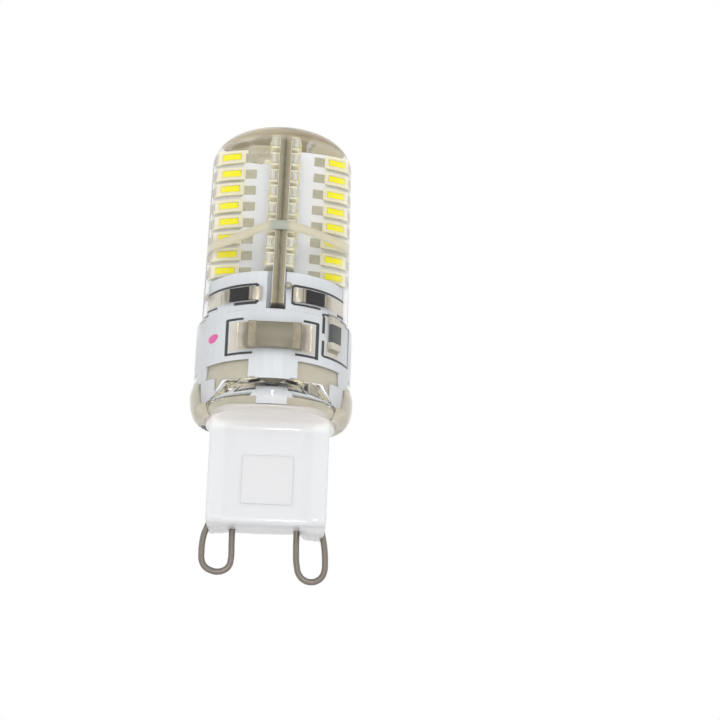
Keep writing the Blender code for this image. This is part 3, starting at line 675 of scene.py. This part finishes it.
class BULB_OT_led_packages(bpy.types.Operator):
    """Set the LED packages, their phosphor windows and their pads on both boards"""
    bl_idname = "bulb.led_packages"
    bl_label = "LED packages"

    def package(self):
        """Moulded package with a sunk window; X runs outwards, +Y off the board."""
        bm = bmesh.new()
        xs, zs = (-1.5, -1.12, 0.62, 1.44), (-0.65, -0.33, 0.33, 0.65)
        low, top = ([[bm.verts.new((x, y, z)) for z in zs] for x in xs] for y in (0.0, 0.7))
        close_grids(bm, low, top)
        rim = {top[1][1], top[2][1], top[2][2], top[1][2]}
        window = next(face for face in bm.faces if set(face.verts) == rim)
        bmesh.ops.inset_individual(bm, faces=[window], thickness=0.03, depth=0.0)
        bmesh.ops.translate(bm, vec=(0.0, -0.12, 0.0), verts=window.verts)
        bmesh.ops.recalc_face_normals(bm, faces=bm.faces)

        def outside(vert):
            return not -1.49 < vert.co.x < 1.43 or abs(vert.co.z) > 0.649
        sharp = [edge for edge in bm.edges
                 if edge.calc_face_angle(0.0) > 1.2 and any(map(outside, edge.verts))]
        bmesh.ops.bevel(bm, geom=sharp, offset=0.07, segments=2, affect="EDGES", profile=0.5)
        rounded_box(bm, (1.3, 0.2, -0.45), (1.53, 0.68, 0.45), 0.06, 1)
        return to_mesh(bm, "led_package")

    def fillet(self):
        """Solder that has crept up a package's outer end."""
        bm = bmesh.new()
        shape = Matrix.Translation((1.5, 0.06, 0.0)) @ Matrix.Diagonal((0.12, 0.26, 0.42, 1.0))
        bmesh.ops.create_uvsphere(bm, u_segments=10, v_segments=8, radius=1.0, matrix=shape)
        return to_mesh(bm, "fillet", 60)

    def execute(self, context):
        colours = context.scene.bulb_colours
        make_rows_tree()
        moulding = grained("LED moulding", colours.package, 0.35, 700.0, 0.05, 0.01, 0.08,
                           subsurface_weight=0.7, subsurface_scale=0.8 * MM)
        phosphor = grained("Phosphor window", colours.phosphor, 0.3, 2500.0, 0.08, 0.006, 0.1,
                           specular_ior_level=0.1)
        tinned = grained("Tinned pad", colours.copper, 0.5, 1800.0, 0.35, 0.02, 0.2, metallic=0.25)
        window = box_mesh("window", ((-1.1, 0.56, -0.31), (0.6, 0.66, 0.31)))
        pads = box_mesh("pads", ((-2.42, -0.01, -0.46), (-1.3, 0.05, 0.46)),
                        ((1.3, -0.01, -0.46), (1.74, 0.05, 0.46)))
        for name, mesh, material, loose in (
                ("led_packages", self.package(), moulding, 1.0), ("led_windows", window, phosphor, 1.0),
                ("led_pads", pads, tinned, 0.0), ("led_fillets", self.fillet(), tinned, 1.0)):
            piece(name, self.columns(name, mesh, material, loose), [material], "led_board")
        return {"FINISHED"}

    def columns(self, name, mesh, material, loose):
        """One mesh of an item's columns: at both sides of both faces of both boards."""
        half, pitch = millimetres("board_thickness") / 2, millimetres("led_pitch")
        run = (bpy.context.scene.bulb_sizes.led_rows - 1) * pitch
        item = helper_object(name + "_item", mesh)
        joined = bmesh.new()
        sides = [(turned, side, face) for turned in (False, True) for side in (-1, 1) for face in (-1, 1)]
        for seed, (turned, side, face) in enumerate(sides, 4):
            reach, top = (DEEP_HIGH.y, DEEP_HIGH.z) if turned else (WIDE_HIGH.x, WIDE_HIGH.z)
            up = side * face
            start = top - millimetres("led_head") - (run if up < 0 else 0.0)
            mirrored = Matrix(((side, 0, 0), (0, face, 0), (0, 0, up))).to_4x4()
            place = Matrix.Translation(Vector((side * (reach - 1.75), face * half, start)) * MM) @ mirrored
            column = rows_of(item, material, seed, loose)
            column.transform(Matrix.Rotation(math.radians(90 if turned else 0), 4, "Z") @ place)
            joined.from_mesh(column)
            bpy.data.meshes.remove(column)
        bpy.data.objects.remove(item, do_unlink=True)
        return lean_cross(to_mesh(joined, name, unit=1.0))


class BULB_OT_strap(bpy.types.Operator):
    """Tie the soft strap round the four fins"""
    bl_idname = "bulb.strap"
    bl_label = "Retaining strap"

    section = ((0.13, -0.42), (0.2, -0.47), (0.3, -0.4), (0.34, 0.0), (0.3, 0.4), (0.2, 0.47), (0.13, 0.42))

    def route(self):
        """Points round the fins' ends and the corners of the packages, half a millimetre apart."""
        corners = []
        for quarter in range(4):
            turn = Matrix.Rotation(math.radians(90 * quarter), 2)
            corners += [turn @ Vector(point) for point in ((6.2, -0.55), (6.2, 0.55), (5.95, 1.25))]
            corners.append(turn @ Vector((1.25, 5.95)))
        path = []
        for here, there in zip(corners, corners[1:] + corners[:1]):
            steps = max(1, round((there - here).length / 0.5))
            path += [here.lerp(there, k / steps) for k in range(steps)]
        return path

    def execute(self, context):
        colour = context.scene.bulb_colours.strap
        material = grained("Strap", colour, 0.4, 260.0, 0.06, 0.02, 0.12, transmission_weight=0.35)
        # Painted shade: greyer and darker within 0.55 mm of the middle of X, where the strap crosses the
        # board's dark raw edge, as if that edge showed through it.
        fade(material, "X", (0.55, srgb(196, 200, 186)), (1.3, colour))
        path = self.route()
        centre = (STRAP_LOW.z + STRAP_HIGH.z) / 2
        bm = bmesh.new()
        rings = []
        for index, point in enumerate(path):
            run = path[(index + 1) % len(path)] - path[index - 1]
            out = Vector((run.y, -run.x)).normalized()
            droop = (0.25 if point.x > 0 else 0.95) * ease(abs(point.x) / 5.2)
            wave = 0.12 - droop + 0.05 * noise.noise(Vector((point.x, point.y, 0.0)) * 0.3)
            rings.append([bm.verts.new((*(point + out * offset), centre + height + wave))
                          for offset, height in self.section])
        for one, two in zip(rings, rings[1:] + rings[:1]):
            bridge(bm, one, two)
        piece("fin_strap", lean_cross(to_mesh(bm, "fin_strap", 50)), [material], "strap", "retaining_strap")
        return {"FINISHED"}


class BULB_OT_driver_board(bpy.types.Operator):
    """Finish the rolled driver board and add its tab ends, printed outlines, pads, marking dot and brown
    potting
    """
    bl_idname = "bulb.driver_board"
    bl_label = "Driver board"

    def execute(self, context):
        colours = context.scene.bulb_colours
        mask = grained("Driver mask", colours.driver, 0.38, 500.0, 0.02, 0.004, 0.04)
        refinish("driver_board", mask)
        self.print_outlines(grained("Printed ink", colours.ink, 0.5, 3000.0, 0.5, 0.004, 0.3))
        self.tinned_pads()
        self.marking_dot(grained("Pen dot", colours.dot, 0.35, 2200.0, 0.25, 0.004, 0.5))
        self.tongues(mask)
        self.plug(grained("Brown potting", colours.potting, 0.12, 420.0, 0.2, 0.1, 0.3,
                          subsurface_weight=0.4, subsurface_scale=0.8 * MM))
        return {"FINISHED"}

    def plates(self, name, spans, proud, thickness, material):
        """A piece of thin plates that start proud of the tube; spans are (first, last, low, high)."""
        bm = bmesh.new()
        for first, last, low, high in spans:
            wrapped_plate(bm, (first, last), (low, high), millimetres("tube_radius") + proud, thickness)
        piece(name, to_mesh(bm, name), [material], "driver_board")

    def tongues(self, mask):
        """Narrow ends of the tabs, which reach down to the flange."""
        spans = [(first, last, low, 13.6) for first, last, low in
                 ((-15.7, 15.7, 11.3), (-84, -62, 12.0), (62, 84, 12.0), (165, 195, 11.3))]
        self.plates("tab_tongues", spans, -0.22, 0.2, mask)

    def plug(self, brown):
        """Brown potting that fills the foot of the tube and shows in its slots."""
        profile = [(0.0, 17.2), (4.7, 17.2), (5.02, 17.0), (5.04, 13.3), (5.08, 12.6), (5.4, 12.2),
                   (6.1, 12.0), (6.8, 11.8), (7.1, 11.5), (7.05, 11.1), (6.7, 10.7), (6.3, 10.5),
                   (6.0, 10.6), (0.0, 11.0)]
        neck, foot = 5.0, 11.0

        def sag(radius, height, turn):
            """Spread the foot everywhere but at the front, and raise it towards the rear."""
            if radius < neck:
                return radius, height
            front = math.cos(turn)
            uneven = 1 + 0.5 * noise.noise(Vector((math.sin(turn) * 2.7, front * 2.7, height * 0.7)))
            spread = (1 - ease((front - 0.35) / 0.25)) * min(uneven, 1.1)
            lift = max(0.0, foot - height) * (1 - min(spread, 1.0))
            if height > foot + 0.4:
                lift += 1.5 * ease((0.1 - front) / 0.13) * ease((13.3 - height) / 0.7)
            return neck + (radius - neck) * spread, height + lift
        bm = bmesh.new()
        revolve(bm, profile, 96, sag)
        piece("tube_potting", to_mesh(bm, "tube_potting", 60), [brown], "silicone")

    def print_outlines(self, ink):
        """Printed outlines of the chips: uprights, and level lines that stop short."""
        line = 0.22
        spans = []

        def upright(angle, low, high, width=line):
            half = math.degrees(width / 2 / millimetres("tube_radius"))
            spans.append((angle - half, angle + half, low, high))

        def level(height, first, last, width=line):
            spans.append((first, last, height - width / 2, height + width / 2))
        upright(-47.5, 15.95, 19.4, 0.32)
        upright(42.4, 15.85, 19.4, 0.34)
        level(16.0, -48.5, -20)
        level(16.0, 20, 43.5)
        level(19.36, -48.5, -30)
        level(19.36, 27, 43.5)
        low, high = 20.85, 22.8
        for near, far, gap in ((-18, -84, (-64.2, -41.76)), (16, 86, (45.4, 70.6))):
            upright(near, low, high, 0.3)
            upright(far, low, high, 0.18)
            level(low, min(near, far), gap[0])
            level(low, gap[1], max(near, far), 0.3)
            level(high, *sorted((near, far)))
        first, last, low, high = 49.5, 97, 16.4, 20.4
        upright(first, low, 17.9, 0.28)
        upright(first, 18.6, high, 0.3)
        upright(last, low, high)
        level(low, first, last)
        level(high, first, last)
        self.plates("printed_outlines", spans, 0.0, millimetres("print_height"), ink)

    def tinned_pads(self):
        spans = ((-44, -22, 16.3, 19.1), (20, 39, 16.3, 19.1), (53, 73, 16.6, 17.7), (53, 73, 19.7, 20.2),
                 (59, 84, 21.05, 22.6), (-84, -59, 21.05, 22.6), (16.6, 20.5, 21.1, 22.5),
                 (-20.5, -16.6, 21.1, 22.5))
        pad = grained("Bare pad", srgb(214, 208, 196), 0.4, 1200.0, 0.12, 0.02, 0.15, metallic=0.35)
        self.plates("driver_pads", spans, 0.0, millimetres("print_height") * 1.5, pad)

    def marking_dot(self, felt):
        """An inspector's pen dot, smeared a little."""
        bm = bmesh.new()
        steps, centre = 28, (math.radians(-67), 17.95)
        tube = millimetres("tube_radius")
        rings = []
        for radius in (tube, tube + 0.02):
            ring = []
            for turn in (2 * math.pi * step / steps for step in range(steps)):
                size = 0.66 + 0.06 * math.sin(2 * turn + 0.6) + 0.03 * math.sin(3 * turn)
                angle = centre[0] + size * math.cos(turn) / tube
                ring.append(bm.verts.new(wrapped(angle, centre[1] + size * 0.66 * math.sin(turn), radius)))
            bm.faces.new(ring)
            rings.append(ring)
        bridge(bm, *rings)
        piece("marking_dot", to_mesh(bm, "marking_dot"), [felt], "driver_board")


class BULB_OT_chips(bpy.types.Operator):
    """Solder the chips and the rectifier to the driver board"""
    bl_idname = "bulb.chips"
    bl_label = "Chips"

    def chip(self, name, node, angle, height, size, cap, materials, slot, upright=False, fillet=0.3):
        """A chip with plated ends: body and ends with rounded edges, and a wedge of solder at each end."""
        length, width, thick = size
        turn = Matrix.Rotation(math.radians(90 if upright else 0), 4, "Y")
        place = Matrix.Translation((0.0, -(millimetres("tube_radius") + 0.04), height)) @ turn
        bm = bmesh.new()
        rounded_box(bm, (0.04 - length / 2, 0.04 - thick, 0.04 - width / 2),
                    (length / 2 - 0.04, 0.0, width / 2 - 0.04), 0.06)
        for side in (-1, 1):
            ends = sorted((side * length / 2, side * (length / 2 - cap)))
            rounded_box(bm, (ends[0], -thick, -width / 2), (ends[1], 0.02, width / 2), 0.09, 3, 1)
            self.solder_wedge(bm, side, length / 2, width * 0.46, thick * 0.8, fillet)
        bmesh.ops.transform(bm, matrix=Matrix.Rotation(math.radians(angle), 4, "Z") @ place, verts=bm.verts)
        piece(name, to_mesh(bm, name, 50), [*materials, solder_material()], slot, node)

    def solder_wedge(self, bm, side, start, half, rise, run):
        """Concave fillet of solder from a chip's end down to its pad."""
        columns, rows = 6, 5
        grid = []
        for share in (i / columns for i in range(columns + 1)):
            lift = rise * (1 - share) ** 1.8
            out = side * (start - 0.02 + run * share)
            spread = half * (1 + 0.1 * share)
            grid.append([bm.verts.new((out, -max(lift * (1 - 0.25 * v * v), 0.01), spread * v))
                         for v in (2 * j / rows - 1 for j in range(rows + 1))])
        flat = [[bm.verts.new((vert.co.x, 0.06, vert.co.z)) for vert in row] for row in grid]
        close_grids(bm, flat, grid, 2)

    def execute(self, context):
        colours = context.scene.bulb_colours
        ceramic = grained("Fired ceramic", colours.ceramic, 0.3, 900.0, 0.1, 0.01, 0.22)
        plated = grained("Plated end", srgb(140, 132, 110), 0.4, 2600.0, 0.7, 0.06, 0.2, metallic=0.25)
        bright = grained("Bright end", srgb(158, 152, 138), 0.38, 1500.0, 0.4, 0.04, 0.3, metallic=0.6)
        tinned = grained("Tinned end", srgb(206, 201, 188), 0.4, 1500.0, 0.3, 0.04, 0.2, metallic=0.3)
        black = grained("Black moulding", srgb(15, 16, 15), 0.45, 1500.0, 0.5, 0.02, 0.2,
                        specular_ior_level=0.2)
        glaze = grained("Resistor glaze", srgb(66, 68, 66), 0.2, 900.0, 0.1, 0.004, 0.1)
        capacitor, diode, resistor = [ceramic, plated], [black, bright], [glaze, tinned]
        self.chip("capacitor_front", "dropper_capacitor", 0.0, 17.6, (4.86, 2.56, 1.05), 0.85, capacitor,
                  "ceramic", fillet=0.9)
        for node, angle in (("diode_front_left", -33.6), ("diode_front_right", 36.0)):
            self.chip(node + "_dressed", node, angle, 21.8, (2.6, 1.45, 0.62), 0.3, diode, "diode",
                      fillet=0.75)
        self.chip("resistor_right", "bleed_resistor", 63, 18.8, (3.1, 1.45, 0.6), 0.68, resistor, "resistor",
                  True, 0.35)
        for name, node, angle, height, upright in (
                ("resistor_rear_left", "ballast_resistor_left", 216, 21.8, False),
                ("resistor_rear_right", "ballast_resistor_right", 144, 21.8, False),
                ("resistor_surge", "surge_resistor", 122, 17.6, True)):
            self.chip(name, node, angle, height, (3.0, 1.45, 0.6), 0.42, resistor, "resistor", upright)
        self.chip("capacitor_rear", "smoothing_capacitor", -122, 17.6, (3.1, 1.55, 0.85), 0.5, capacitor,
                  "ceramic", True)
        refinish("bridge_rectifier", black)
        return {"FINISHED"}


class BULB_OT_leads(bpy.types.Operator):
    """Finish the lead wires and the solder beads"""
    bl_idname = "bulb.leads"
    bl_label = "Leads and solder"

    def execute(self, context):
        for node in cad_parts:
            if node.startswith("lead_wire"):
                refinish(node, wire_material())
            elif "solder" in node:
                refinish(node, solder_material())
        return {"FINISHED"}


class BULB_OT_base(bpy.types.Operator):
    """Mould the white base: block, flange, sunk panel with its faint pad, and rounded edges"""
    bl_idname = "bulb.base"
    bl_label = "Base"

    voxel = 0.11 * MM
    half_length, half_depth = 5.65, 2.9
    flange_top = 11.4

    def execute(self, context):
        colour = context.scene.bulb_colours.base
        scatter = {"subsurface_weight": 0.35, "subsurface_scale": 0.9 * MM}
        material = grained("Moulded white", colour, 0.1, 300.0, 0.012, 0.004, 0.02, **scatter)
        # Painted light and shade by height: lighter than the base colour from 9.65 to 10 mm, to lift the
        # shade under the flange, then warmer and darker up to 10.8 mm and above, painted shade on the
        # flange's face.
        fade(material, "Z", (9.1, colour), (9.65, srgb(234, 235, 235)), (10.0, srgb(235, 233, 231)),
             (10.45, srgb(231, 226, 222)), (10.62, srgb(227, 222, 217)), (10.8, srgb(203, 198, 194)))
        body = self.block()
        for cutter in (self.tray(-1), self.tray(1), *(self.hole(x) for x in (-5.28, -3.12, 2.95, 5.28))):
            self.combine(body, cutter, "DIFFERENCE")
        self.join(body, self.flange(6.2, 9.8), self.turned(4.9, 10.5, 13.2, 0.4))
        remesh = body.modifiers.new("skin", "REMESH")
        remesh.mode = "VOXEL"
        remesh.voxel_size = self.voxel
        remesh.use_smooth_shade = True
        soften = body.modifiers.new("soften", "SMOOTH")
        soften.factor = 0.5
        soften.iterations = 24
        mesh = evaluated_mesh(body, "base_moulding")
        mesh.materials.clear()
        mesh.shade_smooth()
        piece("base_moulding", mesh, [material], "base_white", "base_housing")
        warm = grained("Moulded pad", srgb(222, 222, 223), 0.12, 300.0, 0.02, 0.004, 0.03, **scatter)
        piece("base_pad", box_mesh("base_pad", ((-2.45, -2.6, 2.3), (2.35, -2.2, 6.9))), [warm], "base_white")
        return {"FINISHED"}

    def block(self):
        """Block with well rounded lower edges, run out along X, its ends rounded less."""
        floor, foot, edge, top = 0.35, 0.65, 0.4, 11.0
        middle = self.half_depth - foot
        section = [(-self.half_depth, top), (self.half_depth, top)]
        section += arc((middle, floor + foot), (foot, foot), 90, 180, 8)
        section += arc((-middle, floor + foot), (foot, foot), 180, 270, 8)
        bm = bmesh.new()
        extrude(bm, [metres(-self.half_length, y, z) for y, z in section],
                metres(2 * self.half_length, 0.0, 0.0))
        ends = [line for line in bm.edges if abs(line.verts[0].co.x - line.verts[1].co.x) < 1e-7]
        bmesh.ops.bevel(bm, geom=ends, offset=edge * MM, segments=4, affect="EDGES", profile=0.5)
        return self.form("block", bm)

    def form(self, name, bm):
        """An object for the Booleans, from a shape in metres."""
        return helper_object(name, to_mesh(bm, name, unit=1.0))

    def tray(self, side):
        """Sloped tray that sinks the panel: (half width, low, high) and depth of its floor and mouth."""
        bm = bmesh.new()
        inner, outer = ([bm.verts.new(metres(x, side * depth, z))
                         for x, z in ((-half, low), (half, low), (half, high), (-half, high))]
                        for half, low, high, depth in ((3.65, 1.3, 10.6, self.half_depth - 0.4),
                                                       (4.75, 0.2, 11.7, self.half_depth + 0.4)))
        bm.faces.new(inner)
        bm.faces.new(outer)
        bridge(bm, inner, outer)
        bmesh.ops.recalc_face_normals(bm, faces=bm.faces)
        rim = [line for line in bm.edges if all(vert in inner for vert in line.verts)]
        bmesh.ops.bevel(bm, geom=rim, offset=0.7 * MM, segments=5, affect="EDGES", profile=0.5)
        return self.form("tray", bm)

    def flange(self, radius, low):
        """Disc whose underside sweeps up in front of and behind the block."""
        disc = self.turned(radius, low, self.flange_top, 0.35)
        self.combine(disc, self.sweep(7.0, low), "INTERSECT")
        return disc

    def turned(self, radius, low, high, edge):
        profile = [(0.0, high), *arc((radius - edge, high - edge), (edge, edge), 0, 90, 5),
                   *arc((radius - edge, low + edge), (edge, edge), 90, 180, 5), (0.0, low)]
        bm = bmesh.new()
        revolve(bm, [metres(*point) for point in profile], 96)
        return self.form("turned", bm)

    def sweep(self, half, floor):
        """What is kept of a disc: nothing below a hollow curve from the block out to the rim."""
        rise = [(2.75 + 3.7 * (k / 14) ** 2.2, 9.9 + 0.95 * k / 14) for k in range(15)]
        rise.insert(0, (rise[0][0] - 0.05, floor))
        top = [(-6.5, 10.92), (-4.4, self.flange_top), (4.4, self.flange_top), (6.5, 10.92)]
        section = top + rise[::-1] + [(-y, z) for y, z in rise]
        bm = bmesh.new()
        extrude(bm, [metres(-half, y, z) for y, z in section], metres(2 * half, 0.0, 0.0))
        return self.form("sweep", bm)

    def hole(self, x):
        bm = bmesh.new()
        radius, depth = metres(0.38, 3.0)
        bmesh.ops.create_cone(bm, cap_ends=True, segments=20, radius1=radius, radius2=radius, depth=depth,
                              matrix=Matrix.Translation(metres(x, 0.0, 0.5)))
        return self.form("hole", bm)

    def join(self, body, *others):
        """Lay closed, overlapping forms into one mesh; the skin that follows makes them one."""
        bm = bmesh.new()
        for obj in (body, *others):
            bm.from_mesh(obj.data)
        bm.to_mesh(body.data)
        bm.free()
        for obj in others:
            bpy.data.objects.remove(obj, do_unlink=True)

    def combine(self, body, tool, operation):
        """Apply one Boolean and drop the tool."""
        modifier = body.modifiers.new("form", "BOOLEAN")
        modifier.operation = operation
        modifier.solver = "EXACT"
        modifier.object = tool
        bpy.context.view_layer.update()
        shape = bpy.data.meshes.new_from_object(body.evaluated_get(bpy.context.evaluated_depsgraph_get()))
        if not shape.polygons:
            raise RuntimeError("a Boolean of the base left nothing")
        body.modifiers.clear()
        body.data = shape
        bpy.data.objects.remove(tool, do_unlink=True)


class BULB_OT_pins(bpy.types.Operator):
    """Bend the two pin loops"""
    bl_idname = "bulb.pins"
    bl_label = "Pin loops"

    routes = {
        "pin_left": [(-5.28, 3.5), (-5.32, 1.0), (-5.52, 0.3), (-5.7, -0.2), (-5.83, -0.9), (-5.88, -2.0),
                     (-5.79, -2.85), (-5.45, -3.4), (-4.9, -3.7), (-4.35, -3.8), (-3.75, -3.66),
                     (-3.27, -3.25), (-3.1, -2.6), (-3.1, -1.2), (-3.12, 0.0), (-3.12, 3.5)],
        "pin_right": [(5.28, 3.5), (5.3, 0.5), (5.42, -0.1), (5.55, -0.7), (5.68, -1.6), (5.74, -2.6),
                      (5.72, -3.3), (5.5, -3.9), (5.05, -4.3), (4.45, -4.44), (3.85, -4.28), (3.35, -3.8),
                      (3.1, -3.0), (2.97, -1.4), (2.95, 0.0), (2.95, 3.5)],
    }

    def execute(self, context):
        for node, route in self.routes.items():
            curve = bpy.data.curves.new(node, "CURVE")
            curve.dimensions = "3D"
            curve.bevel_depth = context.scene.bulb_sizes.pin_radius
            curve.bevel_resolution = 5
            curve.resolution_u = 8
            curve.use_fill_caps = True
            spline = curve.splines.new("BEZIER")
            spline.bezier_points.add(len(route) - 1)
            for point, (x, z) in zip(spline.bezier_points, route):
                point.co = (x * MM, 0.0, z * MM)
                point.handle_left_type = point.handle_right_type = "AUTO"
            mesh = evaluated_mesh(helper_object(node + "_curve", curve), node + "_wire")
            mesh.materials.clear()
            mesh.shade_smooth()
            piece(node + "_wire", mesh, [wire_material()], "tinned_wire", node)
        return {"FINISHED"}


class BULB_OT_sealant(bpy.types.Operator):
    """Run clear sealant round the pin legs under the base"""
    bl_idname = "bulb.sealant"
    bl_label = "Sealant"

    def execute(self, context):
        material = new_material("Clear sealant", roughness=0.12, transmission_weight=0.35, ior=1.41,
                                base_color=(0.95, 0.95, 0.96))[0]
        bm = bmesh.new()
        self.drip(bm, -4.3, 1.2, 0.36, 2.0)
        self.drip(bm, 0.0, 3.4, 0.22, 5.0)
        self.drip(bm, 4.35, 1.25, 0.75, 9.0)
        piece("pin_sealant", to_mesh(bm, "pin_sealant", 60), [material], "silicone")
        return {"FINISHED"}

    def drip(self, bm, centre, half, depth, seed):
        """A patch of sealant that hangs below the base, uneven and fuller on its outer side."""
        columns, rows = 30, 12
        grid = []
        for u in (2 * i / columns - 1 for i in range(columns + 1)):
            row = []
            for v in (2 * j / rows - 1 for j in range(rows + 1)):
                sag = (max(0.0, 1 - u ** 4) * max(0.0, 1 - v ** 4)) ** 0.5
                rough = 1 + 0.22 * noise.noise(Vector((u * 3 + seed, v * 2, seed)))
                lean = 1 + 0.35 * u * (1 if centre > 0 else -1)
                row.append(bm.verts.new((centre + half * u, 2.3 * v, 0.4 - depth * sag * rough * lean)))
            grid.append(row)
        close_grids(bm, grid, [[bm.verts.new((vert.co.x, vert.co.y, 0.45)) for vert in row] for row in grid])


MAKERS = (BULB_OT_stage, BULB_OT_capsule, BULB_OT_led_boards, BULB_OT_led_packages, BULB_OT_strap,
          BULB_OT_driver_board, BULB_OT_chips, BULB_OT_leads, BULB_OT_base, BULB_OT_pins, BULB_OT_sealant)


class BULB_PT_panel(bpy.types.Panel):
    """Lists what makes the bulb"""
    bl_idname = "BULB_PT_panel"
    bl_label = "LED capsule bulb"
    bl_space_type = "VIEW_3D"
    bl_region_type = "UI"
    bl_category = "Bulb"

    def draw(self, context):
        column = self.layout.column(align=True)
        for maker in MAKERS:
            column.operator(maker.bl_idname)
        for group in (context.scene.bulb_sizes, context.scene.bulb_colours):
            listed = self.layout.box().column()
            for label in group.__annotations__:
                listed.prop(group, label)


CLASSES = (BulbSizes, BulbColours, *MAKERS, BULB_PT_panel)


def register():
    for entry in CLASSES:
        bpy.utils.register_class(entry)
    bpy.types.Scene.bulb_sizes = PointerProperty(type=BulbSizes)
    bpy.types.Scene.bulb_colours = PointerProperty(type=BulbColours)


def unregister():
    del bpy.types.Scene.bulb_colours
    del bpy.types.Scene.bulb_sizes
    for entry in reversed(CLASSES):
        bpy.utils.unregister_class(entry)


def main():
    register()
    make_grain_group()
    make_laminate_group()
    for maker in MAKERS:
        family, action = maker.bl_idname.split(".")
        getattr(getattr(bpy.ops, family), action)()


if __name__ == "__main__":
    main()
